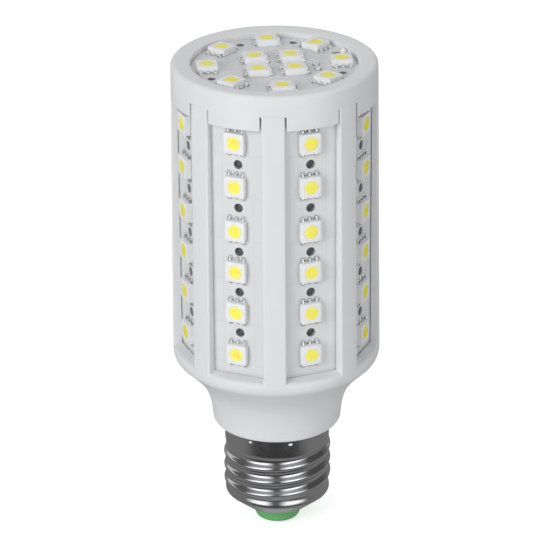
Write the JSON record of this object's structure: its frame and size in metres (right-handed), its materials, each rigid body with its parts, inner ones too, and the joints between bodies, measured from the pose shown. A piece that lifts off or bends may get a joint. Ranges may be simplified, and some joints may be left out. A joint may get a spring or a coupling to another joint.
{
  "type": "corn led bulb",
  "caption": "Cylindrical LED lamp with a white ribbed housing, upright emitter boards between the ribs, a round top board and a metal screw cap.",
  "frame": {"origin": "centre of the underside of the centre contact, the lowest point of the lamp", "axes": "+Z along the lamp's axis from the contact to the top board; -Y through the middle of one rib"},
  "size_m": [0.05, 0.05, 0.1204],
  "materials": {
    "housing": "moulded white plastic, satin",
    "board": "white solder mask, slightly glossy",
    "package": "white moulded package",
    "window": "yellow phosphor under clear resin, unlit",
    "solder": "bright solder",
    "glue": "white sealant",
    "shell": "nickel plated, polished",
    "insulator": "green moulded plastic",
    "contact": "plated rivet",
    "driver": "green laminate",
    "film": "dipped film capacitor",
    "sleeve": "black sleeve over a can",
    "black": "black moulded package",
    "resistor": "lacquered resistor bodies",
    "wire_black": "black insulated wire",
    "wire_white": "white insulated wire",
    "wire_red": "red insulated wire"
  },
  "bodies": {
    "root": {"lamp_body": "housing", "top_cap": "housing", "side_board_1": "board", "side_board_2": "board", "side_board_3": "board", "side_board_4": "board", "side_board_5": "board", "side_board_6": "board", "side_board_7": "board", "side_board_8": "board", "top_board": "board", "side_emitter_bodies": "package", "top_emitter_bodies": "package", "side_emitter_windows": "window", "top_emitter_windows": "window", "side_emitter_solder": "solder", "top_emitter_solder": "solder", "wire_joints": "solder", "glue_dab": "glue", "screw_shell": "shell", "insulator": "insulator", "centre_contact": "contact", "driver_board": "driver", "film_capacitor": "film", "electrolytic_capacitor": "sleeve", "bridge_rectifier": "black", "resistors": "resistor", "live_wire": "wire_black", "negative_wire": "wire_black", "neutral_wire": "wire_white", "positive_wire": "wire_red"}
  },
  "joints": []
}
